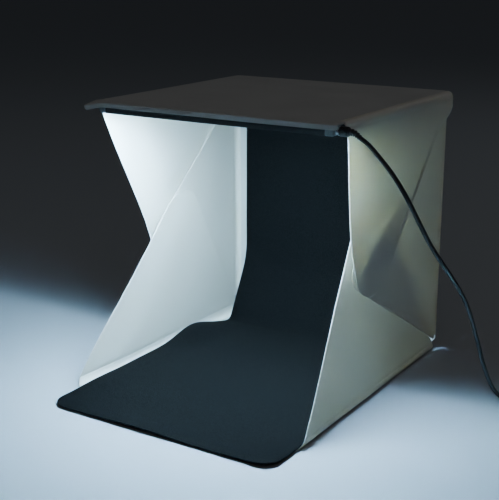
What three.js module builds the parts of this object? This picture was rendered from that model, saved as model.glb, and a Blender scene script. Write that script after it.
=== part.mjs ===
// A folding photo light box: a sheet-plastic base, back and top, three overlapping fold-in
// flaps on each side, an LED bar under the front edge of the top, a draped backdrop and a
// power lead. Millimetres, +X to the right, +Y to the back, +Z up. The origin is on the table,
// under the middle of the box that holds everything but the lead.
import * as THREE from 'three';

// ---- driving dimensions ----
const HEIGHT = 240;            // table to the top face
const DEPTH = 287;             // front edge of the backdrop to the outer face of the back
const SHEET = 1;               // plastic sheet of the base, back and top
const FLAP = 0.8;              // plastic sheet of the side flaps
const GAP = 0.3;               // clearance between pieces that touch
const BASE_WIDTH = 220;
const BASE_LENGTH = 251;
const TOP_WIDTH = 230;
const TOP_LENGTH = 216;
const TOP_LIP = 4.5;           // turned-down front edge of the top, from its top face
const CORNER = 5;              // rounded corners of the top and the base
const BACK_WIDTH = 220.6;
const REAR_Y = DEPTH / 2;
const FRONT_Y = -DEPTH / 2;
const LID_Z = HEIGHT - SHEET;  // underside of the top
const FLOOR_Z = SHEET + GAP;   // where pieces stand on the base

// side flaps: outer faces, each plane or cone leaning in from its own fold
const LOWER_FOLD_X = 109.4;
const LOWER_LEAN = 0.13;
const LOWER_FRONT_SLOPE = 1.27; // rise over run of a free edge
const LOWER_REAR_SLOPE = 1.43;
const LOWER_TIP = 27;          // radius of the rounded tip
const REAR_FOLD_X = 110.6;
const REAR_LEAN = 0.08;
const REAR_LOW_SLOPE = 0.6;
const REAR_HIGH_SLOPE = 0.72;
const REAR_TIP = 18;
const REAR_FOOT_Z = 9;         // cut corners above the base and below the top
const REAR_HEAD_Z = 228;
const UPPER_FOLD_X = 114.4;
const UPPER_FRONT_SLOPE = 2.7;
const UPPER_SETBACK = 15.5;    // front end of the upper fold, behind the front edge of the top
const UPPER_REAR_SLOPE = 1.385;
const UPPER_TIP = 27;

// round hook-and-loop fastener between the upper and the rear flap
const DISC_RADIUS = 19;
const DISC_THICK = 0.7;
const DISC_Y = 28;
const DISC_Z = 111;

// LED bar
const BAR_LENGTH = 215;
const BAR_RIGHT = 111;         // right end of the bar; its left end stops short of the corner
const BAR_DEPTH = 13;
const BAR_HEIGHT = 8;
const BAR_WALL = 1;
const BAR_FRONT_INSET = 1.6;
const CHIP_COUNT = 20;
const CHIP_PITCH = 10.2;

// backdrop
const CLOTH = 1;
const CLOTH_FRONT_HALF = 106;  // half its width at the front edge
const CLOTH_BACK_HALF = 96;    // half its width on the back
const CLOTH_CORNER = 15;
const CLOTH_FLAT = 243.5;      // from its front edge to the foot of its rise
const CLOTH_TOP_Z = 222;

// power lead
const LEAD_DIAMETER = 3.4;
const COIL_WIDTH = 10.4;       // three turns side by side
const COIL_HEIGHT = 7;         // two turns high
const COIL_RADIUS = 21.6;      // to the outside of the coil
const COIL_CENTRE = new THREE.Vector3(230, 80, COIL_HEIGHT / 2);

const group = new THREE.Group();

const white = { color: 0xe9e9e6, roughness: 0.42, metalness: 0 };
const black = { color: 0x16191c, roughness: 0.95, metalness: 0 };
const metal = { color: 0xb9bdc0, roughness: 0.3, metalness: 0.9 };
const hook = { color: 0x2a2c2f, roughness: 0.9, metalness: 0 };
const moulded = { color: 0x1b1c1e, roughness: 0.5, metalness: 0 };
const board = { color: 0xf1f2ee, roughness: 0.5, metalness: 0 };
const lamp = { color: 0xfff6dc, roughness: 0.3, metalness: 0 };
const frosted = { color: 0xf4f7fb, roughness: 0.35, metalness: 0 };

function add(name, geometry, look) {
  const mesh = new THREE.Mesh(geometry, new THREE.MeshStandardMaterial(look));
  mesh.name = name;
  group.add(mesh);
  return mesh;
}

function box(x0, x1, y0, y1, z0, z1) {
  const geometry = new THREE.BoxGeometry(x1 - x0, y1 - y0, z1 - z0);
  return geometry.translate((x0 + x1) / 2, (y0 + y1) / 2, (z0 + z1) / 2);
}

// How far a rounded corner draws an edge in, at a distance from the end of the sheet.
function cornerTrim(distance, radius) {
  const short = Math.max(radius - distance, 0);
  return radius - Math.sqrt(radius ** 2 - short ** 2);
}

// The volume inside a closed set of triangles, negative when they face inwards.
function signedVolume(points, triangles) {
  const corner = (n) => new THREE.Vector3().fromArray(points, 3 * triangles[n]);
  let volume = 0;
  for (let n = 0; n < triangles.length; n += 3) {
    volume += corner(n).dot(corner(n + 1).cross(corner(n + 2))) / 6;
  }
  return volume;
}

// A closed sheet between two faces, each a function that gives the point at two parameters
// that run from 0 to 1 along the rows and the columns.
function sheetSolid(rows, columns, faces) {
  const points = [];
  for (const face of faces) {
    for (let i = 0; i <= rows; i++) {
      for (let j = 0; j <= columns; j++) {
        points.push(...face(i / rows, j / columns));
      }
    }
  }
  const width = columns + 1;
  const layer = (rows + 1) * width;
  const triangles = [];
  const quad = (a, b, c, d) => triangles.push(a, b, c, a, c, d);
  for (let i = 0; i < rows; i++) {
    for (let j = 0; j < columns; j++) {
      const a = i * width + j;
      quad(a, a + width, a + width + 1, a + 1);
      quad(layer + a, layer + a + 1, layer + a + width + 1, layer + a + width);
    }
  }
  for (let i = 0; i < rows; i++) {
    const a = i * width;
    const b = a + columns;
    quad(a, layer + a, layer + a + width, a + width);
    quad(b, b + width, layer + b + width, layer + b);
  }
  for (let j = 0; j < columns; j++) {
    const b = rows * width + j;
    quad(j, j + 1, layer + j + 1, layer + j);
    quad(b, layer + b, layer + b + 1, b + 1);
  }
  if (signedVolume(points, triangles) < 0) triangles.reverse();
  const geometry = new THREE.BufferGeometry();
  geometry.setAttribute('position', new THREE.Float32BufferAttribute(points, 3));
  geometry.setIndex(triangles);
  return geometry;
}

// A side flap from its outer face: the inner face lies FLAP further in. side is 1 or -1.
function flapSolid(rows, columns, outer, side) {
  const face = (inset) => (v, u) => {
    const point = outer(v, u);
    return [side * (point.x - inset), point.y, point.z];
  };
  return sheetSolid(rows, columns, [face(0), face(FLAP)]);
}

// The outline of a tongue: two straight free edges that run to one rounded tip. Along the fold
// the tongue spans start to end; t is the distance out from the fold. Each edge falls in by
// its own amount per unit of t, and the tip is an arc tangent to both edges.
function tongue(start, end, startRate, endRate, tip) {
  const startEdge = Math.hypot(1, startRate);
  const endEdge = Math.hypot(1, endRate);
  const centreT = (end - start - tip * (startEdge + endEdge)) / (startRate + endRate);
  const centreS = start + startRate * centreT + tip * startEdge;
  const startTouch = centreT + tip * startRate / startEdge;
  const endTouch = centreT + tip * endRate / endEdge;
  const reach = centreT + tip;
  const round = (t) => Math.sqrt(Math.max(tip * tip - (t - centreT) ** 2, 0));
  const low = (t) => (t < startTouch ? start + startRate * t : centreS - round(t));
  const high = (t) => (t < endTouch ? end - endRate * t : centreS + round(t));
  return { reach, low, high };
}

const TIP_ROW = 0.985;          // the last row stops just short of the tip, so that it has width

// Rows bunch up towards the round tip, where the outline turns fastest.
function rowDistance(v, reach) {
  return reach * TIP_ROW * Math.sin(v * Math.PI / 2) ** 0.8;
}

function lowerFlapX(z) {
  return LOWER_FOLD_X - LOWER_LEAN * (z - FLOOR_Z);
}

function rearFlapX(y) {
  return REAR_FOLD_X - REAR_LEAN * (REAR_Y - y);
}

// The upper flap bows in around the top back corner: deepest along a ridge that runs to the
// front notch, less so at its back edge, and more the further out it reaches.
const RIDGE_ANGLE = 0.6;
const RIDGE_DEPTH = 0.0745;
const EDGE_DEPTH = 0.044;
const EDGE_ANGLE = 0.96;
const BOW_REACH = 190;
function upperFlapX(y, z) {
  const run = REAR_Y - y;
  const drop = LID_Z - z;
  const angle = Math.atan2(drop, run);
  const up = Math.sin(Math.min(angle / RIDGE_ANGLE, 1) * Math.PI / 2);
  const past = Math.max(angle - RIDGE_ANGLE, 0) / (EDGE_ANGLE - RIDGE_ANGLE);
  const depth = RIDGE_DEPTH * up - (RIDGE_DEPTH - EDGE_DEPTH) * past;
  return UPPER_FOLD_X - (run * run + drop * drop) / BOW_REACH * depth;
}

function lowerFlap(side) {
  const start = REAR_Y - BASE_LENGTH + 1;
  const end = REAR_Y - SHEET - 1;
  const shape = tongue(start, end, 1 / LOWER_FRONT_SLOPE, 1 / LOWER_REAR_SLOPE, LOWER_TIP);
  const outer = (v, u) => {
    const t = rowDistance(v, shape.reach);
    const z = FLOOR_Z + t;
    return new THREE.Vector3(lowerFlapX(z), shape.low(t) + (shape.high(t) - shape.low(t)) * u, z);
  };
  return flapSolid(12, 2, outer, side);
}

function rearFlap(side) {
  const shape = tongue(REAR_FOOT_Z, REAR_HEAD_Z, REAR_LOW_SLOPE, REAR_HIGH_SLOPE, REAR_TIP);
  const fold = REAR_Y - SHEET - GAP;
  const outer = (v, u) => {
    const t = rowDistance(v, shape.reach);
    const y = fold - t;
    return new THREE.Vector3(rearFlapX(y), y, shape.high(t) + (shape.low(t) - shape.high(t)) * u);
  };
  return flapSolid(12, 2, outer, side);
}

function upperFlap(side) {
  const start = REAR_Y - TOP_LENGTH + UPPER_SETBACK;
  const end = REAR_Y - 1;
  const shape = tongue(start, end, 1 / UPPER_FRONT_SLOPE, 1 / UPPER_REAR_SLOPE, UPPER_TIP);
  const outer = (v, u) => {
    const t = rowDistance(v, shape.reach);
    const y = shape.high(t) + (shape.low(t) - shape.high(t)) * u;
    const z = LID_Z - GAP - t;
    return new THREE.Vector3(upperFlapX(y, z), y, z);
  };
  return flapSolid(16, 12, outer, side);
}

// A disc that lies against a flap: it stands across X and leans as the flap does.
function fastenerDisc(side, x, leanY, leanZ) {
  const disc = new THREE.CylinderGeometry(DISC_RADIUS, DISC_RADIUS, DISC_THICK, 28);
  disc.rotateZ(Math.PI / 2);
  const position = disc.getAttribute('position');
  for (let i = 0; i < position.count; i++) {
    const lean = leanY * position.getY(i) + leanZ * position.getZ(i);
    position.setX(i, side * (x + position.getX(i) + lean));
    position.setY(i, DISC_Y + position.getY(i));
    position.setZ(i, DISC_Z + position.getZ(i));
  }
  if (side < 0) disc.setIndex(Array.from(disc.getIndex().array).reverse());
  return disc;
}

// ---- sheets ----
// A rounded corner's stops along the length of a sheet, measured from its end.
const cornerStops = [0, 0.4, 1.5, 3, CORNER];

function basePanel() {
  const stops = [...cornerStops, BASE_LENGTH];
  const face = (z) => (v, u) => {
    const distance = stops[Math.round(v * (stops.length - 1))];
    const half = BASE_WIDTH / 2 - cornerTrim(distance, CORNER);
    return [half * (2 * u - 1), REAR_Y - BASE_LENGTH + distance, z];
  };
  return sheetSolid(stops.length - 1, 1, [face(SHEET), face(0)]);
}

// The top runs back from the lower edge of its lip, over a small bend, to its rounded back
// corners. depth is how far a face lies below the outer face.
function topPanel() {
  const front = REAR_Y - TOP_LENGTH;
  const bend = 1.5;
  const length = TOP_LIP - bend + bend * Math.PI / 2 + TOP_LENGTH - bend;
  const path = [0, 0.4, 1.5, TOP_LIP - bend];
  for (let n = 1; n <= 3; n++) path.push(TOP_LIP - bend + bend * Math.PI / 2 * n / 3);
  path.push(...cornerStops.map((stop) => length - stop).reverse());
  const face = (depth) => (v, u) => {
    const distance = path[Math.round(v * (path.length - 1))];
    const trim = cornerTrim(distance, CORNER - 2) + cornerTrim(length - distance, CORNER);
    const half = TOP_WIDTH / 2 - trim;
    const rise = Math.min(distance, TOP_LIP - bend);
    const turn = THREE.MathUtils.clamp((distance - TOP_LIP + bend) / bend, 0, Math.PI / 2);
    const run = Math.max(distance - (TOP_LIP - bend) - bend * Math.PI / 2, 0);
    const y = front + bend - (bend - depth) * Math.cos(turn) + run;
    const z = HEIGHT - TOP_LIP + rise + (bend - depth) * Math.sin(turn);
    return [half * (2 * u - 1), y, z];
  };
  return sheetSolid(path.length - 1, 1, [face(0), face(SHEET)]);
}

add('base_panel', basePanel(), white);
add('back_panel', box(-BACK_WIDTH / 2, BACK_WIDTH / 2, REAR_Y - SHEET, REAR_Y,
  FLOOR_Z, LID_Z - GAP), white);
add('top_panel', topPanel(), white);
for (const [label, side] of [['left', -1], ['right', 1]]) {
  add(`lower_flap_${label}`, lowerFlap(side), white);
  add(`rear_flap_${label}`, rearFlap(side), white);
  add(`upper_flap_${label}`, upperFlap(side), white);
  const hookX = rearFlapX(DISC_Y) + GAP + DISC_THICK / 2;
  const loopX = hookX + DISC_THICK + GAP;
  add(`fastener_hook_${label}`, fastenerDisc(side, hookX, REAR_LEAN, 0), hook);
  add(`fastener_loop_${label}`, fastenerDisc(side, loopX, REAR_LEAN, 0), hook);
}

// ---- LED bar: a channel open downwards, with a board, chips and a frosted cover inside ----
const barFront = REAR_Y - TOP_LENGTH + BAR_FRONT_INSET;
const barBack = barFront + BAR_DEPTH;
const barTop = LID_Z - GAP;
const barBottom = barTop - BAR_HEIGHT;
const capLength = 7;
const barLeft = BAR_RIGHT - BAR_LENGTH;
const barMiddle = BAR_RIGHT - BAR_LENGTH / 2;

function channel() {
  const inner = BAR_WALL;
  const shape = new THREE.Shape();
  shape.moveTo(barFront, barBottom);
  shape.lineTo(barFront + inner, barBottom);
  shape.lineTo(barFront + inner, barTop - inner);
  shape.lineTo(barBack - inner, barTop - inner);
  shape.lineTo(barBack - inner, barBottom);
  shape.lineTo(barBack, barBottom);
  shape.lineTo(barBack, barTop);
  shape.lineTo(barFront, barTop);
  const length = BAR_LENGTH - 2 * (capLength + GAP);
  const solid = new THREE.ExtrudeGeometry(shape, { depth: length, bevelEnabled: false });
  const start = barLeft + capLength + GAP;
  solid.applyMatrix4(new THREE.Matrix4().set(0, 0, 1, start, 1, 0, 0, 0, 0, 1, 0, 0, 0, 0, 0, 1));
  return solid;
}

const insideFront = barFront + BAR_WALL + GAP;
const insideBack = barBack - BAR_WALL - GAP;
const boardTop = barTop - BAR_WALL - GAP;
const boardBottom = boardTop - 1.2;
const boardLeft = barLeft + capLength + 3 * GAP;
const boardRight = BAR_RIGHT - capLength - 3 * GAP;
add('led_channel', channel(), { color: 0xc9ccce, roughness: 0.5, metalness: 0.2 });
add('led_board', box(boardLeft, boardRight, insideFront, insideBack, boardBottom, boardTop), board);
for (let n = 0; n < CHIP_COUNT; n++) {
  const x = barMiddle + (n - (CHIP_COUNT - 1) / 2) * CHIP_PITCH;
  const y = (insideFront + insideBack) / 2;
  const chipTop = boardBottom - GAP;
  const label = String(n + 1).padStart(2, '0');
  add(`led_chip_${label}`, box(x - 2.5, x + 2.5, y - 2.5, y + 2.5, chipTop - 1, chipTop), lamp);
}
add('led_cover', box(boardLeft, boardRight, insideFront, insideBack, barBottom, barBottom + 1), frosted);
for (const [label, x] of [['left', barLeft], ['right', BAR_RIGHT - capLength]]) {
  add(`led_end_cap_${label}`, box(x, x + capLength, barFront, barBack, barBottom, barTop),
    { color: 0xb4b8bb, roughness: 0.5, metalness: 0 });
}

// ---- power socket, plug and strain relief on the right end of the bar ----
const leadY = (barFront + barBack) / 2;
const leadZ = barBottom + 3.4;
const socketEnd = BAR_RIGHT + GAP + 2.2;
const plugEnd = socketEnd + GAP + 6.5;
const reliefEnd = plugEnd + GAP + 5.5;

function alongX(radiusNear, radiusFar, x0, x1, segments) {
  const solid = new THREE.CylinderGeometry(radiusFar, radiusNear, x1 - x0, segments);
  solid.rotateZ(-Math.PI / 2);
  return solid.translate((x0 + x1) / 2, leadY, leadZ);
}

add('power_socket', alongX(3.4, 3.4, BAR_RIGHT + GAP, socketEnd, 16), metal);
add('lead_plug', alongX(3.9, 3.6, socketEnd + GAP, plugEnd, 16), moulded);
add('strain_relief', alongX(2.9, 2.1, plugEnd + GAP, reliefEnd, 16), moulded);

// ---- power lead: free tube, coil, tie and USB plug ----
const leadRoute = [
  [reliefEnd + GAP, leadY, leadZ],
  [reliefEnd + 4, leadY - 0.2, leadZ - 0.3],
  [137, -66.5, 228.5],
  [147, -68.5, 219.5],
  [157, -69.5, 209],
  [165, -67.5, 197],
  [171, -63.5, 184],
  [175.5, -57, 170],
  [179, -47, 155],
  [183, -33.5, 139],
  [186, -17, 122],
  [188, 0, 104],
  [188, 15, 87],
  [187, 29, 70],
  [187, 41, 53],
  [188, 49.5, 37],
  [191, 55.5, 22],
  [196, 58.8, 10],
  [204, 60, 3.2],
  [COIL_CENTRE.x - 13.5, COIL_CENTRE.y - 19.9, LEAD_DIAMETER / 2 + 0.2],
].map(([x, y, z]) => new THREE.Vector3(x, y, z));

function leadTube() {
  const route = new THREE.CatmullRomCurve3(leadRoute, false, 'centripetal');
  const section = new THREE.Shape();
  const sides = 8;
  for (let i = 0; i < sides; i++) {
    const angle = i / sides * Math.PI * 2;
    const x = LEAD_DIAMETER / 2 * Math.cos(angle);
    const y = LEAD_DIAMETER / 2 * Math.sin(angle);
    if (i === 0) section.moveTo(x, y);
    else section.lineTo(x, y);
  }
  return new THREE.ExtrudeGeometry(section, { steps: 48, extrudePath: route, bevelEnabled: false });
}

function leadCoil() {
  const middle = COIL_RADIUS - COIL_WIDTH / 2;
  const profile = [];
  const sides = 8;
  for (let i = 0; i < sides; i++) {
    const angle = (i + 0.5) / sides * Math.PI * 2;
    const out = middle + COIL_WIDTH / 2 * Math.cos(angle) / Math.cos(Math.PI / sides);
    const up = COIL_HEIGHT / 2 * Math.sin(angle) / Math.cos(Math.PI / sides);
    profile.push(new THREE.Vector2(out, up));
  }
  profile.push(profile[0].clone());
  const ring = new THREE.LatheGeometry(profile, 32);
  ring.rotateX(Math.PI / 2);
  return ring.translate(COIL_CENTRE.x, COIL_CENTRE.y, COIL_CENTRE.z);
}

add('lead_tube', leadTube(), moulded);
add('lead_coil', leadCoil(), moulded);
// The USB plug lies beside the coil, pointing to the back.
const usbX = COIL_CENTRE.x + COIL_RADIUS - 8;
const usbY = COIL_CENTRE.y + COIL_RADIUS;
add('usb_plug_body', box(usbX - 8, usbX + 8, usbY, usbY + 22, 0, 8), moulded);
add('usb_plug_shell', box(usbX - 6, usbX + 6, usbY + 22 + GAP, usbY + 34, 1.8, 6.3), metal);

// ---- backdrop and the strips that hold it ----
// Its path runs back over the base, turns up at the foot of its rise, leans back as far as the
// panel and goes on straight up. heading is how steep it is at a distance from the front edge.
const RISE_ANGLE = 62;         // degrees, where it leans back
const RISE_TURNS = [[0, 14], [50, 96]]; // past the foot: where the two bends start and end
function clothHeading(distance) {
  const [first, second] = RISE_TURNS.map(([start, end]) => (
    THREE.MathUtils.smoothstep(distance - CLOTH_FLAT, start, end)));
  return THREE.MathUtils.degToRad(RISE_ANGLE * first + (90 - RISE_ANGLE) * second);
}

// A point of the path: how far back and how high it is at a distance from the front edge.
function clothPath(distance) {
  const step = 0.25;
  let y = FRONT_Y;
  let z = FLOOR_Z;
  for (let at = 0; at < distance; at += step) {
    const run = Math.min(step, distance - at);
    const heading = clothHeading(at + run / 2);
    y += run * Math.cos(heading);
    z += run * Math.sin(heading);
  }
  return { y, z };
}

// depth is how far a face lies above the sheet's underside. Each point is [half width, y, z].
const bendEnd = CLOTH_FLAT + RISE_TURNS[1][1];
const clothLength = bendEnd + CLOTH_TOP_Z - clothPath(bendEnd).z;
function clothPoint(distance, depth) {
  const taper = THREE.MathUtils.smoothstep(distance, CLOTH_FLAT - 38, CLOTH_FLAT + 7);
  const narrowing = (CLOTH_BACK_HALF - CLOTH_FRONT_HALF) * taper;
  const half = CLOTH_FRONT_HALF + narrowing - cornerTrim(distance, CLOTH_CORNER);
  const { y, z } = clothPath(distance);
  const heading = clothHeading(distance);
  return [half, y - depth * Math.sin(heading), z + depth * Math.cos(heading)];
}

function backdrop() {
  const stops = [0, 1.5, 5, 9, CLOTH_CORNER];
  for (let n = 0; n <= 4; n++) stops.push(CLOTH_FLAT - 40 + 10 * n);
  for (let n = 1; n <= 4; n++) stops.push(CLOTH_FLAT + RISE_TURNS[0][1] * n / 4);
  const [start, end] = RISE_TURNS[1];
  for (let n = 0; n <= 7; n++) stops.push(CLOTH_FLAT + start + (end - start) * n / 7);
  stops.push(clothLength);
  const face = (depth) => (v, u) => {
    const [half, y, z] = clothPoint(stops[Math.round(v * (stops.length - 1))], depth);
    return [half * (2 * u - 1), y, z];
  };
  return sheetSolid(stops.length - 1, 1, [face(0), face(CLOTH)]);
}

add('backdrop', backdrop(), black);
const stripBack = REAR_Y - SHEET - GAP;
const STRIP_THICK = 0.9;
add('hang_strip_hook', box(-95, 95, stripBack - STRIP_THICK, stripBack, 200, 220), hook);
add('hang_strip_loop', box(-95, 95, stripBack - 2 * STRIP_THICK - GAP, stripBack - STRIP_THICK - GAP,
  200, 220), hook);

export default group;
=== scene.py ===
"""The looks of the folding photo light box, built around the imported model.

Sizes are in millimetres until a mesh is made, which turns them to metres.
+X is right, +Y is back and +Z is up, as in the model.
"""
import math

import bmesh
import bpy
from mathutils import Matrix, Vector


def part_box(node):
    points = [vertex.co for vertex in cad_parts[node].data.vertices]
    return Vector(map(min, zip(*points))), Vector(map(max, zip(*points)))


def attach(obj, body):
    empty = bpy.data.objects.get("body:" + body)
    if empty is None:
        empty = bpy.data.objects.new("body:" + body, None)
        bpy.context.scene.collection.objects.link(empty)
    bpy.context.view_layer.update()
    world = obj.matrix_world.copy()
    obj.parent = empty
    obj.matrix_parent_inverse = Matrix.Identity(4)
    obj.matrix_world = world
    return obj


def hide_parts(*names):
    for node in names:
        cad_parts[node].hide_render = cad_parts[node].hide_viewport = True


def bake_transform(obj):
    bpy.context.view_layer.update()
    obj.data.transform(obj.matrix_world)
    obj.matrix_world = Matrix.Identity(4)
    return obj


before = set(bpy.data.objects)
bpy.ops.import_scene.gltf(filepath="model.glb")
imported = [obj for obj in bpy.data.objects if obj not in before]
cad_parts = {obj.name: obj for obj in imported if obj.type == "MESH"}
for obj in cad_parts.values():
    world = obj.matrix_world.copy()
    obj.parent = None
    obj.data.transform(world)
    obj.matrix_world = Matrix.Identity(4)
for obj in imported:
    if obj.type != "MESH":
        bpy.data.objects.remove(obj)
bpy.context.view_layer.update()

MM = 0.001
SIDES = (("left", -1), ("right", 1))


def node_box(node):
    """A CAD node's lowest and highest corners, in millimetres."""
    low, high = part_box(node)
    return Vector(low) / MM, Vector(high) / MM


# ---------------------------------------------------------------- camera, stage and lights

CAMERA_PLACE = (0.4624, -0.7297, 0.3593)
CAMERA_YAW = -0.569
CAMERA_PITCH = -0.277
CAMERA_LENS = 76.6


def make_camera():
    data = bpy.data.cameras.new("camera")
    data.lens = CAMERA_LENS
    data.sensor_width = 36
    camera = bpy.data.objects.new("camera", data)
    bpy.context.scene.collection.objects.link(camera)
    camera.location = CAMERA_PLACE
    forward = Vector((math.sin(CAMERA_YAW) * math.cos(CAMERA_PITCH),
                      math.cos(CAMERA_YAW) * math.cos(CAMERA_PITCH),
                      math.sin(CAMERA_PITCH)))
    camera.rotation_euler = forward.to_track_quat("-Z", "Y").to_euler()
    bpy.context.scene.camera = camera


def area_light(name, place, aim, size, power, colour):
    data = bpy.data.lights.new(name, "AREA")
    data.shape = "DISK"
    data.size = size
    data.energy = power
    data.color = colour
    light = bpy.data.objects.new(name, data)
    bpy.context.scene.collection.objects.link(light)
    light.location = place
    light.rotation_euler = (Vector(aim) - Vector(place)).to_track_quat("-Z", "Y").to_euler()


def make_stage():
    world = bpy.data.worlds.new("studio")
    bpy.context.scene.world = world
    world.use_nodes = True
    background = world.node_tree.nodes["Background"]
    background.inputs["Color"].default_value = (0.72, 0.77, 0.84, 1)
    background.inputs["Strength"].default_value = 0.028
    area_light("key", (0.9, -1.1, 1.5), (0, 0, 0.1), 1.4, 1.3, (1, 0.98, 0.95))
    area_light("fill", (-1.4, -0.6, 1.1), (0, 0, 0.1), 1.6, 0.45, (0.9, 0.95, 1))
    area_light("rim", (0.5, 1.5, 1.3), (0, 0, 0.1), 1.2, 0.8, (0.95, 0.97, 1))
    bpy.ops.mesh.primitive_plane_add(size=40, location=(0, 0, 0))
    floor = bpy.context.object
    floor.name = "floor"
    material = bpy.data.materials.new("floor_paint")
    material.use_nodes = True
    shader = material.node_tree.nodes["Principled BSDF"]
    shader.inputs["Base Color"].default_value = (0.50, 0.535, 0.57, 1)
    shader.inputs["Roughness"].default_value = 0.75
    floor.data.materials.append(material)


# ---------------------------------------------------------------- mesh helpers

def link_mesh(name, verts, faces, smooth=True):
    """A mesh object from points in millimetres, with its faces turned outwards."""
    mesh = bpy.data.meshes.new(name)
    mesh.from_pydata([tuple(c * MM for c in v) for v in verts], [], faces)
    work = bmesh.new()
    work.from_mesh(mesh)
    bmesh.ops.recalc_face_normals(work, faces=work.faces)
    work.to_mesh(mesh)
    work.free()
    mesh.polygons.foreach_set("use_smooth", [smooth] * len(mesh.polygons))
    piece = bpy.data.objects.new(name, mesh)
    bpy.context.scene.collection.objects.link(piece)
    return piece


def apply_modifiers(piece, sharp=math.radians(32)):
    """Replaces the piece's mesh by the result of its modifiers."""
    graph = bpy.context.evaluated_depsgraph_get()
    result = bpy.data.meshes.new_from_object(piece.evaluated_get(graph))
    piece.modifiers.clear()
    old = piece.data
    piece.data = result
    bpy.data.meshes.remove(old)
    piece.data.polygons.foreach_set("use_smooth", [True] * len(piece.data.polygons))
    piece.data.set_sharp_from_angle(angle=sharp)
    piece.data.update()


def bevel(piece, width, segments=2, angle=math.radians(35)):
    modifier = piece.modifiers.new("bevel", "BEVEL")
    modifier.width = width * MM
    modifier.segments = segments
    modifier.limit_method = "ANGLE"
    modifier.angle_limit = angle


def grid_faces(rows, columns):
    width = columns + 1
    return [(i * width + j, i * width + j + 1, (i + 1) * width + j + 1, (i + 1) * width + j)
            for i in range(rows) for j in range(columns)]


def ring_faces(rings, sides):
    """Faces over rings of points one after the other, with a cap on each end."""
    faces = [(i * sides + k, i * sides + (k + 1) % sides, (i + 1) * sides + (k + 1) % sides,
              (i + 1) * sides + k) for i in range(rings - 1) for k in range(sides)]
    last = (rings - 1) * sides
    return [*faces, tuple(range(sides)), tuple(range(last, last + sides))]


def thin_sheet(name, rows, columns, middle, thickness, edge=0.15):
    """A sheet of even thickness about a surface. middle(v, u) gives its point in millimetres."""
    verts = [middle(i / rows, j / columns) for i in range(rows + 1) for j in range(columns + 1)]
    piece = link_mesh(name, verts, grid_faces(rows, columns))
    solidify = piece.modifiers.new("solidify", "SOLIDIFY")
    solidify.thickness = thickness * MM
    solidify.offset = 0
    solidify.use_even_offset = True
    bevel(piece, edge, 2, math.radians(60))
    apply_modifiers(piece)
    return piece


def box_verts(low, high):
    return [(x, y, z) for x in (low[0], high[0]) for y in (low[1], high[1])
            for z in (low[2], high[2])]


BOX_FACES = [(0, 1, 3, 2), (4, 6, 7, 5), (0, 4, 5, 1), (2, 3, 7, 6), (0, 2, 6, 4), (1, 5, 7, 3)]


def bevelled_box(name, low, high, width, segments=3):
    piece = link_mesh(name, box_verts(low, high), BOX_FACES)
    bevel(piece, width, segments)
    apply_modifiers(piece)
    return piece


def turned(name, profile, origin, axis, segments):
    """A turned piece: profile is a list of (distance along the axis, radius)."""
    axis = Vector(axis).normalized()
    across = axis.orthogonal().normalized()
    third = axis.cross(across)
    origin = Vector(origin)
    verts = []
    for along, radius in profile:
        for n in range(segments):
            angle = 2 * math.pi * n / segments
            spoke = across * math.cos(angle) + third * math.sin(angle)
            verts.append(tuple(origin + axis * along + spoke * radius))
    piece = link_mesh(name, verts, ring_faces(len(profile), segments))
    piece.data.set_sharp_from_angle(angle=math.radians(40))
    return piece


def smooth_step(value, low, high):
    t = min(max((value - low) / (high - low), 0.0), 1.0)
    return t * t * (3 - 2 * t)


def bump(value, centre, width):
    return math.exp(-((value - centre) / width) ** 2)


# ---------------------------------------------------------------- materials

def new_material(name, colour, roughness):
    material = bpy.data.materials.new(name)
    material.use_nodes = True
    shader = material.node_tree.nodes["Principled BSDF"]
    shader.inputs["Base Color"].default_value = (*colour, 1)
    shader.inputs["Roughness"].default_value = roughness
    return material, material.node_tree, shader


def add_node(tree, kind, **sockets):
    node = tree.nodes.new(kind)
    for name, value in sockets.items():
        node.inputs[name.replace("_", " ")].default_value = value
    return node


def object_noise(tree, scale, detail=2.0, stretch=(1, 1, 1)):
    """Noise in the object's own metres, stretched along the axes; returns its factor."""
    place = tree.nodes.new("ShaderNodeTexCoord")
    mapping = add_node(tree, "ShaderNodeMapping", Scale=stretch)
    noise = add_node(tree, "ShaderNodeTexNoise", Scale=scale, Detail=detail)
    tree.links.new(place.outputs["Object"], mapping.inputs["Vector"])
    tree.links.new(mapping.outputs["Vector"], noise.inputs["Vector"])
    return noise.outputs["Fac"]


def ramp(tree, factor, stops):
    """A colour ramp of (position, colour) stops; returns its colour."""
    node = tree.nodes.new("ShaderNodeValToRGB")
    elements = node.color_ramp.elements
    while len(elements) < len(stops):
        elements.new(0.5)
    for element, (position, colour) in zip(elements, stops):
        element.position = position
        element.color = (*colour, 1)
    tree.links.new(factor, node.inputs["Fac"])
    return node.outputs["Color"]


def add_bump(tree, shader, height, strength, distance):
    node = add_node(tree, "ShaderNodeBump", Strength=strength, Distance=distance)
    tree.links.new(height, node.inputs["Height"])
    tree.links.new(node.outputs["Normal"], shader.inputs["Normal"])


def mixed(tree, a, b, factor):
    node = tree.nodes.new("ShaderNodeMath")
    node.operation = "MULTIPLY_ADD"
    node.inputs[1].default_value = factor
    tree.links.new(a, node.inputs[0])
    tree.links.new(b, node.inputs[2])
    return node.outputs[0]


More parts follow.
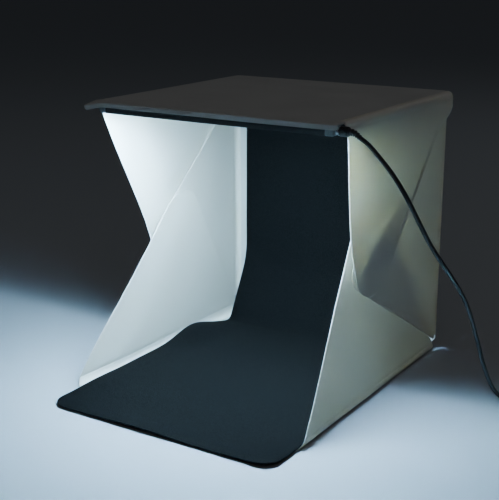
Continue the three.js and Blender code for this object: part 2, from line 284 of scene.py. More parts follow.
def sheet_plastic(name, light, dark, glow):
    """Matt translucent sheet plastic: a fine pebble grain, faint mottling and soft roughness
    changes where it was handled. glow is how much light passes into the sheet."""
    material, tree, shader = new_material(name, light, 0.42)
    cloud = object_noise(tree, 14, 4)
    colour = ramp(tree, cloud, [(0.3, dark), (0.62, light)])
    tree.links.new(colour, shader.inputs["Base Color"])
    wear = object_noise(tree, 40, 3, (1, 1, 0.35))
    rough = ramp(tree, wear, [(0.3, (0.34,) * 3), (0.7, (0.5,) * 3)])
    tree.links.new(rough, shader.inputs["Roughness"])
    grain = object_noise(tree, 1500, 2)
    waves = object_noise(tree, 22, 2)
    add_bump(tree, shader, mixed(tree, waves, grain, 8.0), 0.25, 0.00012)
    shader.inputs["Subsurface Weight"].default_value = glow
    shader.inputs["Subsurface Radius"].default_value = (1.0, 1.0, 1.0)
    shader.inputs["Subsurface Scale"].default_value = 0.0006
    shader.inputs["Specular IOR Level"].default_value = 0.4
    return material


def felt(name, light, dark, sheen, scale):
    """Matt pile: scale is how fine its fibres are."""
    material, tree, shader = new_material(name, dark, 0.95)
    fibre = object_noise(tree, scale, 5)
    colour = ramp(tree, fibre, [(0.35, dark), (0.7, light)])
    tree.links.new(colour, shader.inputs["Base Color"])
    lint = object_noise(tree, 170, 5)
    add_bump(tree, shader, mixed(tree, lint, fibre, 0.5), 0.6, 0.0004)
    shader.inputs["Sheen Weight"].default_value = sheen
    shader.inputs["Sheen Roughness"].default_value = 0.6
    shader.inputs["Specular IOR Level"].default_value = 0.04
    return material


def moulded_plastic(name, colour, roughness, grain=700):
    material, tree, shader = new_material(name, colour, roughness)
    fine = object_noise(tree, grain, 2)
    lighter = tuple(min(c * 1.25 + 0.004, 1) for c in colour)
    tree.links.new(ramp(tree, fine, [(0.3, colour), (0.75, lighter)]), shader.inputs["Base Color"])
    add_bump(tree, shader, fine, 0.2, 0.0001)
    return material


def plated_metal(name, colour):
    material, tree, shader = new_material(name, colour, 0.25)
    shader.inputs["Metallic"].default_value = 1.0
    brushed = object_noise(tree, 500, 3, (0.1, 1, 1))
    tree.links.new(ramp(tree, brushed, [(0.3, (0.18,) * 3), (0.7, (0.36,) * 3)]),
                   shader.inputs["Roughness"])
    return material


def glowing(name, colour, strength, base):
    material, tree, shader = new_material(name, base, 0.4)
    shader.inputs["Emission Color"].default_value = (*colour, 1)
    shader.inputs["Emission Strength"].default_value = strength
    frost = object_noise(tree, 900, 2)
    add_bump(tree, shader, frost, 0.2, 0.0001)
    return material


COOL_LIGHT = (0.44, 0.74, 1.0)
PANEL = sheet_plastic("panel_sheet", (0.74, 0.728, 0.69), (0.68, 0.668, 0.632), 0.3)
FLAP_SHEET = sheet_plastic("flap_sheet", (0.88, 0.835, 0.745), (0.84, 0.795, 0.705), 1.0)
BACKDROP_FELT = felt("backdrop_felt", (0.0095, 0.0097, 0.0098), (0.0026, 0.0027, 0.0028),
                     0.006, 1100)
HOOK_TAPE = felt("hook_tape", (0.02, 0.021, 0.022), (0.006, 0.0065, 0.007), 0.1, 1600)
# the channel's near-black colour is partly its own dark plastic and partly painted shade, standing
# for its unlit front face that faces away from the lamps
BAR_PLASTIC_AND_SHADE = moulded_plastic("bar_channel", (0.035, 0.036, 0.037), 0.6)
CAP_PLASTIC = moulded_plastic("bar_cap", (0.30, 0.33, 0.35), 0.45)
BLACK_PLASTIC = moulded_plastic("black_moulding", (0.018, 0.018, 0.019), 0.42)
JACKET = moulded_plastic("lead_jacket", (0.014, 0.014, 0.015), 0.36, 400)
METAL = plated_metal("bright_metal", (0.72, 0.73, 0.74))
BOARD = moulded_plastic("circuit_board", (0.82, 0.83, 0.80), 0.5)
LAMP = glowing("led_lamp", COOL_LIGHT, 700, (0.95, 0.92, 0.7))
FROSTED = glowing("frosted_cover", COOL_LIGHT, 520, (0.9, 0.93, 0.97))


def finish_piece(piece, material, body, slot_name, *nodes):
    piece.data.materials.clear()
    piece.data.materials.append(material)
    if body:
        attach(piece, body)
    if nodes:
        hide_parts(*nodes)
    return piece


# ---------------------------------------------------------------- driving sizes from the frame

BASE_LOW = node_box("base_panel")[0]
BACK_LOW, BACK_HIGH = node_box("back_panel")
TOP_LOW, TOP_HIGH = node_box("top_panel")
REAR_Y = BACK_HIGH.y
SHEET = BACK_HIGH.y - BACK_LOW.y
LID_Z = TOP_HIGH.z - SHEET
FLOOR_Z = BACK_LOW.z
GAP = 0.3                      # between one CAD sheet and the next
FLAP = 0.8                     # thickness of the CAD flaps
FLAP_SHOWN = 0.55              # thickness of the sheet that is shown

# ---------------------------------------------------------------- power lead

LEAD_DIAMETER = 3.4
TUBE_SIDES = 14
COIL_LOW, COIL_HIGH = node_box("lead_coil")
COIL_CENTRE = (COIL_LOW + COIL_HIGH) / 2
COIL_PITCH = 3.46
TIE_THICK = 0.5
LEAD_FLOOR_Z = LEAD_DIAMETER / 2 + TIE_THICK + 0.05
OUTER_TURN = (COIL_HIGH.x - COIL_LOW.x) / 2 - LEAD_DIAMETER / 2
COIL_TURNS = 5.3
RELIEF_LOW, RELIEF_HIGH = node_box("strain_relief")
LEAD_START = Vector((RELIEF_HIGH.x, (RELIEF_LOW.y + RELIEF_HIGH.y) / 2,
                     (RELIEF_LOW.z + RELIEF_HIGH.z) / 2))
LEAD_ROUTE = [
    (137, -66.4, 226.6),
    (147, -68.4, 218.6),
    (157, -69.5, 209),
    (165, -67.5, 197),
    (171, -63.5, 184),
    (175.5, -57, 170),
    (179, -47, 155),
    (183, -33.5, 139),
    (186, -17, 122),
    (188, 0, 104),
    (188, 15, 87),
    (187, 29, 70),
    (187, 41, 53),
    (188, 49.5, 37),
    (191, 55.5, 22),
    (196, 58.8, 10.5),
    (204, 60, 4),
    (214, 60.1, LEAD_FLOOR_Z + 0.1),
    (223, 60.1, LEAD_FLOOR_Z),
]
USB_LOW, USB_HIGH = node_box("usb_plug_body")
USB_ENTRY = Vector(((USB_LOW.x + USB_HIGH.x) / 2, USB_LOW.y, (USB_LOW.z + USB_HIGH.z) / 2))


def coil_points():
    """The coil: three turns inwards on the floor, a climb, then outwards on top of them. Each
    turn is a true circle that shifts by one pitch over the last sixth of its way round."""
    radii = [OUTER_TURN - COIL_PITCH * n for n in (0, 1, 2, 2, 1, 0, 0)]
    steps = round(COIL_TURNS * 30)
    points = []
    for n in range(steps + 1):
        turns = COIL_TURNS * n / steps
        turn = min(int(turns), 5)
        shift = smooth_step(turns - turn, 5 / 6, 1)
        radius = radii[turn] + (radii[turn + 1] - radii[turn]) * shift
        rise = COIL_PITCH if turn > 2 else 0
        if turn == 2:
            rise = COIL_PITCH * math.sin(shift * math.pi / 2)
            radius += COIL_PITCH * (1 - shift - math.cos(shift * math.pi / 2))
        angle = (turns - 0.25) * 2 * math.pi
        points.append((COIL_CENTRE.x + radius * math.cos(angle),
                       COIL_CENTRE.y + radius * math.sin(angle), LEAD_FLOOR_Z + rise))
    return points


def smooth_route(points, steps):
    """A centripetal Catmull-Rom curve through the points, as points along it."""
    spots = [Vector(p) for p in points]
    spots = [spots[0] * 2 - spots[1], *spots, spots[-1] * 2 - spots[-2]]
    result = []
    for a, b, c, d in zip(spots, spots[1:], spots[2:], spots[3:]):
        t1 = (b - a).length ** 0.5
        t2 = t1 + (c - b).length ** 0.5
        t3 = t2 + (d - c).length ** 0.5
        for n in range(steps):
            t = t1 + (t2 - t1) * n / steps
            ab = a * ((t1 - t) / t1) + b * (t / t1)
            bc = b * ((t2 - t) / (t2 - t1)) + c * ((t - t1) / (t2 - t1))
            cd = c * ((t3 - t) / (t3 - t2)) + d * ((t - t2) / (t3 - t2))
            abc = ab * ((t2 - t) / t2) + bc * (t / t2)
            bcd = bc * ((t3 - t) / (t3 - t1)) + cd * ((t - t1) / (t3 - t1))
            result.append(abc * ((t2 - t) / (t2 - t1)) + bcd * ((t - t1) / (t2 - t1)))
    result.append(spots[-2])
    return result


def tube(name, points, radii, sides=TUBE_SIDES):
    """A round tube along points, with a radius at each; its rings don't twist."""
    verts = []
    ahead = (points[1] - points[0]).normalized()
    side = ahead.orthogonal().normalized()
    for n, point in enumerate(points):
        before, after = points[max(n - 1, 0)], points[min(n + 1, len(points) - 1)]
        heading = (after - before).normalized()
        side = (side - heading * side.dot(heading)).normalized()
        third = heading.cross(side)
        for k in range(sides):
            angle = 2 * math.pi * k / sides
            verts.append(point + (side * math.cos(angle) + third * math.sin(angle)) * radii[n])
    piece = link_mesh(name, verts, ring_faces(len(points), sides))
    piece.data.set_sharp_from_angle(angle=math.radians(50))
    return piece


RELIEF_ROUTE = [Vector((RELIEF_LOW.x, LEAD_START.y, LEAD_START.z)) + Vector(step)
                for step in ((-0.2, 0, 0), (2, 0, -0.1), (4.4, 0, -0.75), (6.6, -0.1, -1.95),
                             (8.4, -0.25, -3.25))]


def ribbed_tube(name, points, start_radius, end_radius, ribs):
    """A tapered tube along points with grooves cut round it, as on a flexible strain relief."""
    count = len(points) - 1

    def radius(share):
        taper = start_radius + (end_radius - start_radius) * share
        groove = sum(bump(share, (n + 0.8) / (ribs + 0.6), 0.055) for n in range(ribs))
        return taper - 0.55 * groove - 0.25 * (1 - smooth_step(share, 0, 0.04))

    return tube(name, points, [radius(n / count) for n in range(count + 1)], 32)


def make_lead():
    start = [RELIEF_ROUTE[-2], RELIEF_ROUTE[-1]]
    coil = [Vector(p) for p in coil_points()]
    free = smooth_route([*start, *LEAD_ROUTE, coil[0], coil[1]], 5)
    free = [p for p in free if p.x < coil[0].x - 0.2 or p.z > 20]
    tail = smooth_route([coil[-2], coil[-1],
                         USB_ENTRY + Vector((2.2, -6, 0.75)),
                         USB_ENTRY + Vector((0.15, -1.2, 0.05)),
                         USB_ENTRY + Vector((0, 1.5, 0))], 5)
    points = free + coil + [p for p in tail if p.y > coil[-1].y + 0.8]
    return tube("lead", points, [LEAD_DIAMETER / 2] * len(points)), points


make_camera()
make_stage()
lead, lead_points = make_lead()


# ---------------------------------------------------------------- base, back and top

CREASE = 1.6                   # how far a sheet stops short of the fold it meets
CORNER = 5                     # radius of the base's front corners
LOWER_ROUND = 7                # how far the soft folds to the side flaps reach on each side
REAR_ROUND = 5
UPPER_ROUND = 6
LOWER_FOLD = 109.0             # where the middles of a flap and its panel would meet
REAR_FOLD = 110.4
REAR_NOTCH = 0.02              # keeps the rear fold clear of the lower fold as both open
UPPER_FOLD = 114.0
TOP_LENGTH = 216
UPPER_SETBACK = 15.5           # front end of the upper fold, behind the top's front edge
UPPER_FRONT = REAR_Y - TOP_LENGTH + UPPER_SETBACK


def corner_trim(distance, radius):
    """How far a rounded corner draws an edge in, at a distance from the end of a sheet."""
    short = max(radius - distance, 0.0)
    return radius - math.sqrt(max(radius * radius - short * short, 0.0))


def stops_between(start, end, count, bunch_start=0.0, bunch_end=0.0):
    """Places from start to end, closer together within a few millimetres of either end."""
    spots = {round(start + (end - start) * n / count, 4) for n in range(count + 1)}
    for n in range(1, 8):
        if bunch_start:
            spots.add(round(start + bunch_start * (1 - math.cos(n / 8 * math.pi / 2)), 4))
        if bunch_end:
            spots.add(round(end - bunch_end * (1 - math.cos(n / 8 * math.pi / 2)), 4))
    return sorted(spots)


def stop_sheet(name, stops, columns, middle, thickness, edge=0.12):
    """A sheet whose rows lie at the given stops: middle(stop, u) gives its point."""
    rows = len(stops) - 1
    return thin_sheet(name, rows, columns,
                      lambda v, u: middle(stops[round(v * rows)], u), thickness, edge)


def base_sheet():
    length = REAR_Y - CREASE - BASE_LOW.y
    half = LOWER_FOLD - LOWER_ROUND

    def middle(run, u):
        x = (half - corner_trim(run, CORNER)) * (2 * u - 1)
        return (x, BASE_LOW.y + run, SHEET / 2)

    piece = stop_sheet("base_sheet", stops_between(0, length, 30, CORNER), 40, middle, SHEET)
    return finish_piece(piece, PANEL, "base", "panel_sheet", "base_panel")


def back_sheet():
    half = REAR_FOLD - REAR_ROUND
    y = REAR_Y - SHEET / 2
    low, high = FLOOR_Z + CREASE, LID_Z - CREASE

    def middle(z, u):
        x = half * (2 * u - 1)
        share = (z - low) / (high - low)
        belly = 0.5 * math.sin(share * math.pi) * math.cos(x / half * math.pi / 2)
        return (x, y + belly, z)

    piece = stop_sheet("back_sheet", stops_between(low, high, 30), 40, middle, SHEET)
    return finish_piece(piece, PANEL, "back", "panel_sheet", "back_panel")


LIP_BEND = 1.5
STRIP_THICK = 0.7              # of the scores at the back, a little thinner than the sheets
TOP_LIP = TOP_HIGH.z - TOP_LOW.z


def corner_droop(x, y):
    """The free front left corner of the top hangs a little."""
    return 4.2 * smooth_step(-x, 97, 118) * smooth_step(-y, 50, 76)


def top_sheet():
    front, half = TOP_LOW.y, TOP_HIGH.x
    radius = LIP_BEND - SHEET / 2
    arc = radius * math.pi / 2
    flat = REAR_Y - CREASE - front - LIP_BEND
    length = TOP_LIP - LIP_BEND + arc + flat
    stops = stops_between(0, TOP_LIP - LIP_BEND, 4, 2.5)[:-1]
    stops += stops_between(TOP_LIP - LIP_BEND, TOP_LIP - LIP_BEND + arc, 6)[:-1]
    slit = TOP_LIP - LIP_BEND + arc + UPPER_FRONT - front - LIP_BEND
    stops += stops_between(TOP_LIP - LIP_BEND + arc, slit - 3, 6)[:-1]
    stops += stops_between(slit - 3, slit, 8)[:-1]
    stops += stops_between(slit, length, 40, 0, CORNER)

    def middle(run, u):
        rise = min(run, TOP_LIP - LIP_BEND)
        turn = min(max(run - rise, 0) / radius, math.pi / 2)
        back = max(run - (TOP_LIP - LIP_BEND) - arc, 0)
        y = front + LIP_BEND - radius * math.cos(turn) + back
        trim = corner_trim(run, 2.6) + corner_trim(length - run, 3)
        past_slit = smooth_step(y, UPPER_FRONT - 2.4, UPPER_FRONT - 0.2)
        trim += (half - UPPER_FOLD + UPPER_ROUND) * past_slit
        x = (half - trim) * (2 * u - 1)
        z = TOP_LOW.z + rise + radius * math.sin(turn)
        edge = smooth_step(-y, 40, 72)
        sag = 0.7 * edge * math.cos(x / half * math.pi / 2) * math.sin((x + 20) / 60)
        droop = corner_droop(x, y)
        return (x - 0.75 * droop, y, z - droop - 0.5 * abs(sag))

    piece = stop_sheet("top_sheet", stops, 64, middle, SHEET, 0.15)
    return finish_piece(piece, PANEL, "lid", "panel_sheet", "top_panel")


def fold_strip(name, outer_end, corner, inner_end):
    """The score where two sheets meet: a thin strip round the corner between them. The ends
    are (y, z) points on each sheet's middle, and the corner is where the strip is roundest."""
    half = REAR_FOLD - REAR_ROUND

    def middle(v, u):
        a, c, b = Vector(outer_end), Vector(corner), Vector(inner_end)
        spot = a * (1 - v) ** 2 + c * 2 * v * (1 - v) + b * v * v
        return (half * (2 * u - 1), spot.x, spot.y)

    piece = thin_sheet(name, 12, 2, middle, STRIP_THICK, 0.1)
    return finish_piece(piece, PANEL, None, "panel_sheet")


base_sheet()
back_sheet()
top_sheet()

low_fold = fold_strip("fold_base_back", (REAR_Y - CREASE - 0.3, SHEET / 2),
                      (REAR_Y - SHEET / 2, SHEET / 2),
                      (REAR_Y - SHEET / 2, FLOOR_Z + CREASE + 0.3))
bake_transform(low_fold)
high_fold = fold_strip("fold_back_top", (REAR_Y - SHEET / 2, LID_Z - CREASE - 0.3),
                       (REAR_Y - SHEET / 2, LID_Z + SHEET / 2),
                       (REAR_Y - CREASE - 0.3, LID_Z + SHEET / 2))
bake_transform(high_fold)


# ---------------------------------------------------------------- side flaps

def tongue(start, end, start_rate, end_rate, tip):
    """The outline of a tongue with two straight free edges and a round tip. t is the distance
    out from the fold. Returns its reach and the two edges at t."""
    start_edge = math.hypot(1, start_rate)
    end_edge = math.hypot(1, end_rate)
    centre_t = (end - start - tip * (start_edge + end_edge)) / (start_rate + end_rate)
    centre_s = start + start_rate * centre_t + tip * start_edge
    start_touch = centre_t + tip * start_rate / start_edge
    end_touch = centre_t + tip * end_rate / end_edge

    def half_round(t):
        return math.sqrt(max(tip * tip - (t - centre_t) ** 2, 0))

    def low(t):
        return start + start_rate * t if t < start_touch else centre_s - half_round(t)

    def high(t):
        return end - end_rate * t if t < end_touch else centre_s + half_round(t)

    return centre_t + tip, low, high


LOWER_OUTER, LOWER_LEAN = 109.4, 0.13    # outer face at its fold, and its lean inwards
REAR_OUTER, REAR_LEAN = 110.6, 0.08
UPPER_OUTER = 114.4
RIDGE_ANGLE = 0.6              # of the upper flap's ridge below the top, in radians
RIDGE_DEPTH = 0.0745           # how deep the cone bows in along the ridge
RIDGE_FADE = 0.0305            # how much less by its lower edge
CONE_REACH = 190               # distance from the corner where the bow is measured


def lower_x(z):
    return LOWER_OUTER - LOWER_LEAN * (z - FLOOR_Z)


def rear_x(y):
    return REAR_OUTER - REAR_LEAN * (REAR_Y - y)


def upper_x(y, z):
    """The upper flap bows in round the top back corner, deepest along a soft ridge that runs
    to the front notch."""
    run, drop = REAR_Y - y, LID_Z - z
    angle = math.atan2(drop, run)
    up = math.sin(min(angle / RIDGE_ANGLE, 1) * math.pi / 2)
    past = max(angle - RIDGE_ANGLE, 0) / 0.36
    depth = RIDGE_DEPTH * up - RIDGE_FADE * past
    return UPPER_OUTER - (run * run + drop * drop) / CONE_REACH * depth


# each: the two ends of its fold, how fast its two free edges close in, and its tip's radius
UPPER_SHAPE = tongue(UPPER_FRONT, REAR_Y - 1, 1 / 2.7, 1 / 1.385, 27)
REAR_SHAPE = tongue(9, 228, 0.6, 0.72, 18)
LOWER_SHAPE = tongue(BASE_LOW.y + 1, REAR_Y - 2, 1 / 1.27, 1 / 1.43, 27)
FLAP_ROWS, FLAP_COLUMNS = 72, 56
DISC_Y, DISC_Z, DISC_RADIUS, DISC_THICK = 28, 111, 19, 0.7


def row_distance(v, reach):
    """Rows bunch up towards the round tip, where the outline turns fastest."""
    return reach * 0.9985 * math.sin(v * math.pi / 2) ** 0.9


def flap_sheet(label, kind, shape, place, side, begin, to_panel, notch=0.0):
    """A flap and the soft fold that joins it to its panel. place(t, along, low, high) gives the
    flap's outer face, which starts at the distance begin from the fold. to_panel turns a point
    on the fold line into the corner between the two sheets and the panel's edge. notch is the
    share of the fold cut away at its low end."""
    reach, low, high = shape

    def middle(t, u):
        a, b = low(t), high(t)
        x, y, z = place(t, a + (b - a) * u, a, b)
        return Vector((side * (x - FLAP / 2), y, z))

    def flap_middle(v, u):
        return middle(begin + row_distance(v, reach - begin), u)

    def fold_middle(v, u):
        u = notch + (1 - notch) * u
        corner, edge = to_panel(middle(0, u), u)
        return edge * (1 - v) ** 2 + corner * 2 * v * (1 - v) + middle(begin + 0.3, u) * v * v

    flap = thin_sheet(f"{kind}_flap_sheet_{label}", FLAP_ROWS, FLAP_COLUMNS, flap_middle,
                      FLAP_SHOWN, 0.08)
    finish_piece(flap, FLAP_SHEET, f"{kind}_flap_{label}", "flap_sheet", f"{kind}_flap_{label}")
    fold = thin_sheet(f"{kind}_fold_{label}", 12, FLAP_COLUMNS, fold_middle, FLAP_SHOWN + 0.1,
                      0.08)
    finish_piece(fold, FLAP_SHEET, None, "flap_sheet")
    tuple(fold_middle(0, 0.5) * MM)
    tuple(fold_middle(1, 0.5) * MM)
    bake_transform(fold)


def make_flaps(label, side):
    def upper_place(t, y, front, back):
        z = LID_Z - GAP - t
        x = upper_x(y, z)
        from_back, from_front = back - y, y - front
        clear = smooth_step(math.hypot(y - DISC_Y, z - DISC_Z), DISC_RADIUS, DISC_RADIUS + 10)
        curl = (1 - smooth_step(from_back, 0, 15)) * smooth_step(t, 8, 40) * clear
        x += (rear_x(y) + 1.3 + FLAP - x) * curl * 0.9
        near = 1 - smooth_step(math.hypot(y - DISC_Y, z - DISC_Z), DISC_RADIUS, DISC_RADIUS + 17)
        x += (rear_x(y) + 2 * (GAP + DISC_THICK) + FLAP + 0.05 - x) * near
        x += 3.4 * bump(y, 135, 12) * bump(z, 224, 12) * smooth_step(t, 0, 9)
        bow = 6.2 if side < 0 else 3.2
        x += bow * math.sin(math.pi * (t / UPPER_SHAPE[0]) ** 0.6) \
            * (1 - smooth_step(from_front, 0, 50))
        return x, y, z

    def rear_place(t, z, low, high):
        y = REAR_Y - SHEET - GAP - t
        lift = 1.4 * (1 - smooth_step(z - low, 0, 9)) * smooth_step(t, 12, 40)
        lift *= 1 - smooth_step(t, REAR_SHAPE[0] - 62, REAR_SHAPE[0] - 44)
        return rear_x(y) + lift, y, z

    def lower_place(t, y, front, back):
        z = FLOOR_Z + t
        bow = (3.4 if side < 0 else 1.2) * bump(t, 26, 42) * smooth_step(t, 0, 8)
        return lower_x(z) + bow * (1 - smooth_step(y - front, 0, 60)), y, z

    def lower_panel(point, u):
        corner = Vector((side * LOWER_FOLD, point.y, SHEET / 2))
        return corner, corner - Vector((side * LOWER_ROUND, 0, 0))

    def rear_panel(point, u):
        top, bottom = LID_Z - CREASE, FLOOR_Z + CREASE
        corner = Vector((side * REAR_FOLD, REAR_Y - SHEET / 2, point.z))
        height = bottom + (top - bottom) * u
        return corner, Vector((side * (REAR_FOLD - REAR_ROUND), corner.y, height))

    def upper_panel(point, u):
        corner = Vector((side * UPPER_FOLD, point.y, LID_Z + SHEET / 2))
        return corner, corner - Vector((side * UPPER_ROUND, 0, 0))

    flap_sheet(label, "upper", UPPER_SHAPE, upper_place, side, UPPER_ROUND, upper_panel)
    flap_sheet(label, "rear", REAR_SHAPE, rear_place, side, REAR_ROUND, rear_panel,
               REAR_NOTCH)
    flap_sheet(label, "lower", LOWER_SHAPE, lower_place, side, LOWER_ROUND, lower_panel)


def fastener_disc(name, side, x, body, node):
    """A round hook or loop pad that leans as the rear flap does, its rim slightly rounded."""
    rings = [(-1, 0.25), (-1, 0.6), (-1, 0.93), (-0.72, 0.985), (0, 1), (0.72, 0.985),
             (1, 0.93), (1, 0.6), (1, 0.25)]
    segments = 64
    verts = []
    for level, share in rings:
        for n in range(segments):
            angle = 2 * math.pi * n / segments
            y = DISC_RADIUS * share * math.sin(angle)
            z = DISC_RADIUS * share * math.cos(angle)
            pile = 0.05 * math.sin(angle * 9 + share * 12)
            verts.append((side * (x + (DISC_THICK / 2 + pile * (abs(level) == 1)) * level
                                  + 0.08 * y), DISC_Y + y, DISC_Z + z))
    piece = link_mesh(name, verts, ring_faces(len(rings), segments))
    return finish_piece(piece, HOOK_TAPE, body, "hook_tape", node)


for label, side in SIDES:
    make_flaps(label, side)
    hook_x = rear_x(DISC_Y) + GAP + DISC_THICK / 2
    fastener_disc(f"hook_pad_{label}", side, hook_x, f"rear_flap_{label}",
                  f"fastener_hook_{label}")
    fastener_disc(f"loop_pad_{label}", side, hook_x + DISC_THICK + GAP,
                  f"upper_flap_{label}", f"fastener_loop_{label}")


# ---------------------------------------------------------------- backdrop

CLOTH = 1.0                    # thickness of the felt
CLOTH_LOW, CLOTH_HIGH = node_box("backdrop")
CLOTH_FRONT = CLOTH_LOW.y
CLOTH_TOP = CLOTH_HIGH.z
CLOTH_HALF = CLOTH_HIGH.x
CLOTH_BACK_HALF = 96
CLOTH_TAPER = 0.6
CLOTH_CORNER = 15              # radius of its front corners
CLOTH_FLAT = 243.5             # from its front edge to the foot of its rise
RISE_ANGLE = 62
RISE_END = CLOTH_FLAT + 96
PATH_STEP = 0.5


def cloth_heading(run):
    """How steeply the backdrop climbs, in radians: it turns up at the foot of its rise, leans
    back as far as the panel and goes on straight up."""
    past = run - CLOTH_FLAT
    return math.radians(RISE_ANGLE * smooth_step(past, 0, 14)
                        + (90 - RISE_ANGLE) * smooth_step(past, 50, 96))


def cloth_path():
    """Points (y, z) of the backdrop's underside every PATH_STEP from its front edge."""
    y, z = CLOTH_FRONT, FLOOR_Z
    path = [(y, z)]
    while z < CLOTH_TOP:
        heading = cloth_heading((len(path) - 0.5) * PATH_STEP)
        y += PATH_STEP * math.cos(heading)
        z += PATH_STEP * math.sin(heading)
        path.append((y, z))
    return path


CLOTH_PATH = cloth_path()
CLOTH_LENGTH = (len(CLOTH_PATH) - 1) * PATH_STEP


def cloth_half(run):
    """Half its width: cut a little narrower where it rises."""
    narrow = CLOTH_HALF - CLOTH_TAPER - CLOTH_BACK_HALF
    return CLOTH_HALF - CLOTH_TAPER * smooth_step(run, 30, 100) \
        - narrow * smooth_step(run, 206, 250) - corner_trim(run, CLOTH_CORNER)


def cloth_middle(run, u):
    x = cloth_half(run) * (2 * u - 1)
    across = x / CLOTH_HALF
    spot = run / PATH_STEP
    n = min(int(spot), len(CLOTH_PATH) - 2)
    (y0, z0), (y1, z1) = CLOTH_PATH[n], CLOTH_PATH[n + 1]
    heading = cloth_heading(run)
    y = y0 + (y1 - y0) * (spot - n) - CLOTH / 2 * math.sin(heading)
    z = z0 + (z1 - z0) * (spot - n) + CLOTH / 2 * math.cos(heading)
    flat = 1 - smooth_step(run, CLOTH_FLAT - 10, CLOTH_FLAT + 8)
    edge = smooth_step(abs(across), 0.66, 0.99)
    # the side edges lift in a long wave and the front edge in a shallow one
    lift = 8.2 * bump(y, 53, 31) + 1.4 * bump(y, -85, 30) + 1.2 * bump(y, -20, 40)
    z += flat * lift * edge * (1 if x < 0 else 0.45)
    z += flat * 1.6 * bump(run, 0, 22) * (0.55 + 0.45 * math.cos(across * 5.2 + 0.8))
    z += flat * (0.5 * bump(y, 60, 22) + 0.5 * bump(y, -25, 34)) * (1 - edge)
    wall = smooth_step(run, RISE_END - 20, RISE_END + 30) * smooth_step(CLOTH_TOP - z, 25, 70)
    y -= wall * (0.6 + 0.5 * math.sin(across * 4 + run * 0.02))
    return (x, y, z)


def make_backdrop():
    stops = stops_between(0, CLOTH_LENGTH, 150, 15)
    stops = sorted(set(stops + stops_between(CLOTH_FLAT - 2, CLOTH_FLAT + 16, 12)))
    piece = stop_sheet("backdrop_sheet", stops, 76, cloth_middle, CLOTH, 0.3)
    finish_piece(piece, BACKDROP_FELT, None, "backdrop_felt", "backdrop")
    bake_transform(piece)


make_backdrop()
for name, node in (("hang_strip_back", "hang_strip_hook"), ("hang_strip_front", "hang_strip_loop")):
    low, high = node_box(node)
    strip = bevelled_box(name, low, high, 0.3, 3)
    finish_piece(strip, HOOK_TAPE, "back", "hook_tape", node)


# ---------------------------------------------------------------- LED bar

CHANNEL_LOW, CHANNEL_HIGH = node_box("led_channel")
LAMP_COUNT = 20


def channel_piece():
    """The channel: a U open downwards, with small inward lips that hold the cover."""
    y0, y1 = CHANNEL_LOW.y, CHANNEL_HIGH.y
    z0, z1 = CHANNEL_LOW.z, CHANNEL_HIGH.z
    wall = 1.0
    outline = [(y0, z0), (y0 + wall, z0), (y0 + wall, z1 - wall), (y1 - wall, z1 - wall),
               (y1 - wall, z0), (y1, z0), (y1, z1 - 0.4), (y1 - 0.4, z1)]
    outline += [(y0 + 0.4, z1), (y0, z1 - 0.4), (y0, z1 - 3.2), (y0 + 0.25, z1 - 3.5),
                (y0 + 0.25, z1 - 4.3), (y0, z1 - 4.6)]
    verts = [(x, y, z) for x in (CHANNEL_LOW.x - 0.25, CHANNEL_HIGH.x + 0.25) for y, z in outline]
    piece = link_mesh("led_bar_channel", verts, ring_faces(2, len(outline)))
    bevel(piece, 0.12, 2)
    apply_modifiers(piece)
    return finish_piece(piece, BAR_PLASTIC_AND_SHADE, "lid", "bar_channel", "led_channel")


channel_piece()
board_low, board_high = node_box("led_board")
board = bevelled_box("led_bar_board", board_low, board_high, 0.15, 1)
finish_piece(board, BOARD, "lid", "circuit_board", "led_board")
cover_low, cover_high = node_box("led_cover")
cover = bevelled_box("led_bar_cover", cover_low, cover_high, 0.35, 3)
finish_piece(cover, FROSTED, "lid", "frosted_cover", "led_cover")
for n in range(1, LAMP_COUNT + 1):
    low, high = node_box(f"led_chip_{n:02d}")
    chip = bevelled_box(f"led_lamp_{n:02d}", low, high, 0.35, 2)
    finish_piece(chip, LAMP, "lid", "led_lamp", f"led_chip_{n:02d}")
for label, side in SIDES:
    low, high = node_box(f"led_end_cap_{label}")
    cap = bevelled_box(f"led_bar_cap_{label}", low, high, 0.9, 4)
    finish_piece(cap, CAP_PLASTIC, "lid", "bar_cap", f"led_end_cap_{label}")

SOCKET_LOW, SOCKET_HIGH = node_box("power_socket")
PLUG_LOW, PLUG_HIGH = node_box("lead_plug")
LEAD_AXIS = Vector((1, 0, 0))


def middle_at(x, low, high):
    return Vector((x, (low.y + high.y) / 2, (low.z + high.z) / 2))


socket = turned("socket_ring", [(0, 3.1), (0.2, 3.4), (1.7, 3.4), (2.0, 3.2), (2.2, 2.9),
                                (2.2, 2.4), (1.2, 2.3)],
                middle_at(SOCKET_LOW.x, SOCKET_LOW, SOCKET_HIGH), LEAD_AXIS, 40)
finish_piece(socket, METAL, "lid", "bright_metal", "power_socket")

plug_length = PLUG_HIGH.x - PLUG_LOW.x
plug_profile = [(0, 3.3), (0.15, 3.65), (0.5, 3.85)]
for n in range(4):
    at, taper = 1.1 + n * 1.1, 0.05 * n
    plug_profile += [(at, 3.85 - taper), (at + 0.2, 3.55 - taper), (at + 0.5, 3.55 - taper),
                     (at + 0.7, 3.83 - taper)]
plug_profile += [(plug_length - 0.5, 3.65), (plug_length - 0.12, 3.5), (plug_length, 3.1)]
plug = turned("plug_grip", plug_profile, middle_at(PLUG_LOW.x, PLUG_LOW, PLUG_HIGH), LEAD_AXIS, 40)
finish_piece(plug, BLACK_PLASTIC, "lid", "black_moulding", "lead_plug")

relief = ribbed_tube("plug_relief", smooth_route(RELIEF_ROUTE, 12), 2.9, 1.95, 4)
finish_piece(relief, BLACK_PLASTIC, "lid", "black_moulding", "strain_relief")


# ---------------------------------------------------------------- the far end of the lead

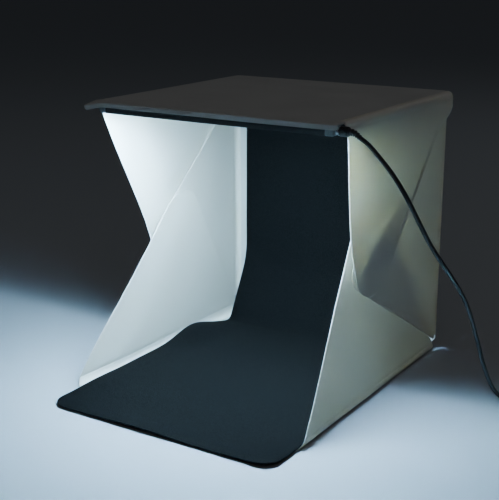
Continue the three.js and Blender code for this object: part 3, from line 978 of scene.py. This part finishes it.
def usb_body():
    """The overmoulded grip: rounded, waisted at the finger grooves, and tapered to the lead."""
    length = USB_HIGH.y - USB_LOW.y
    half_x, half_z = (USB_HIGH.x - USB_LOW.x) / 2, (USB_HIGH.z - USB_LOW.z) / 2
    sections = 40
    corner_steps = 6
    radius = 2.4
    verts = []
    for i in range(sections + 1):
        run = length * (i / sections)
        nose = smooth_step(run, 0, 5)
        shrink = 0.42 + 0.58 * nose - 0.04 * smooth_step(run, length - 1.2, length)
        groove = sum(0.35 * bump(run, 7.5 + k * 2.2, 0.55) for k in range(4))
        for qx, qz in ((1, 1), (-1, 1), (-1, -1), (1, -1)):
            for k in range(corner_steps + 1):
                angle = k / corner_steps * math.pi / 2
                ca, sa = math.cos(angle), math.sin(angle)
                if qx * qz < 0:
                    ca, sa = sa, ca
                hx = half_x * shrink - groove
                hz = half_z * (0.52 + 0.48 * nose)
                x = qx * (hx - radius * shrink + radius * shrink * ca)
                z = qz * (hz - radius * shrink + radius * shrink * sa)
                verts.append((USB_ENTRY.x + x, USB_LOW.y + run, USB_ENTRY.z + z))
    piece = link_mesh("usb_grip", verts, ring_faces(sections + 1, 4 * (corner_steps + 1)))
    piece.data.set_sharp_from_angle(angle=math.radians(40))
    return finish_piece(piece, BLACK_PLASTIC, "back", "black_moulding", "usb_plug_body")


def usb_shell():
    """The metal shell: an open rectangular tube with two latch windows, and the tongue in it."""
    low, high = node_box("usb_plug_shell")
    wall = 0.35
    rear = low.y - 1
    shell = link_mesh("usb_shell", box_verts((low.x, rear, low.z), high), BOX_FACES)
    inside = link_mesh("cut", box_verts((low.x + wall, low.y + 1, low.z + wall),
                                        (high.x - wall, high.y + 1, high.z - wall)), BOX_FACES)
    middle = (low.x + high.x) / 2
    windows = [link_mesh("cut", box_verts((middle + sx * 3.2 - 1.2, low.y + 5, low.z - 1),
                                          (middle + sx * 3.2 + 1.2, low.y + 7.4, high.z + 1)),
                         BOX_FACES) for sx in (-1, 1)]
    for cutter in (inside, *windows):
        modifier = shell.modifiers.new("cut", "BOOLEAN")
        modifier.object = cutter
        modifier.solver = "EXACT"
    bevel(shell, 0.12, 2)
    apply_modifiers(shell)
    for cutter in (inside, *windows):
        old = cutter.data
        bpy.data.objects.remove(cutter)
        bpy.data.meshes.remove(old)
    finish_piece(shell, METAL, "back", "bright_metal", "usb_plug_shell")
    tongue_piece = bevelled_box("usb_tongue", (low.x + 0.6, low.y + 1.2, low.z + 0.6),
                                (high.x - 0.6, high.y - 0.8, low.z + 2.3), 0.15, 2)
    finish_piece(tongue_piece, BOARD, "back", "circuit_board")
    return shell, tongue_piece


def coil_tie():
    """A strap round the six strands of the coil."""
    angle = -math.pi / 4
    out = Vector((math.cos(angle), math.sin(angle), 0))
    along = Vector((-math.sin(angle), math.cos(angle), 0))
    r0, r1 = OUTER_TURN - 2 * COIL_PITCH - LEAD_DIAMETER / 2, OUTER_TURN + LEAD_DIAMETER / 2
    z0, z1 = LEAD_FLOOR_Z - LEAD_DIAMETER / 2, LEAD_FLOOR_Z + COIL_PITCH + LEAD_DIAMETER / 2
    radius, steps, rows = 1.7, 6, 5
    loop = []
    for cr, cz, start in ((r1 - radius, z1 - radius, 0), (r0 + radius, z1 - radius, 1),
                          (r0 + radius, z0 + radius, 2), (r1 - radius, z0 + radius, 3)):
        for k in range(steps + 1):
            turn = (start + k / steps) * math.pi / 2
            loop.append((cr + math.cos(turn) * (radius + TIE_THICK / 2),
                         cz + math.sin(turn) * (radius + TIE_THICK / 2)))
    verts = []
    for i in range(rows + 1):
        for r, z in loop:
            verts.append(Vector((COIL_CENTRE.x, COIL_CENTRE.y, 0)) + out * r
                         + Vector((0, 0, z)) + along * ((i / rows - 0.5) * 6))
    count = len(loop)
    faces = [(i * count + k, i * count + (k + 1) % count, (i + 1) * count + (k + 1) % count,
              (i + 1) * count + k) for i in range(rows) for k in range(count)]
    piece = link_mesh("coil_tie", verts, faces)
    solidify = piece.modifiers.new("solidify", "SOLIDIFY")
    solidify.thickness = (TIE_THICK - 0.08) * MM
    solidify.offset = 0
    bevel(piece, 0.1, 2, math.radians(60))
    apply_modifiers(piece)
    return finish_piece(piece, HOOK_TAPE, "back", "hook_tape")


usb_grip = usb_body()
usb_metal, usb_tongue = usb_shell()
tie = coil_tie()
finish_piece(lead, JACKET, None, "lead_jacket", "lead_tube", "lead_coil")
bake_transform(lead)
[tuple(p * MM) for p in lead_points]
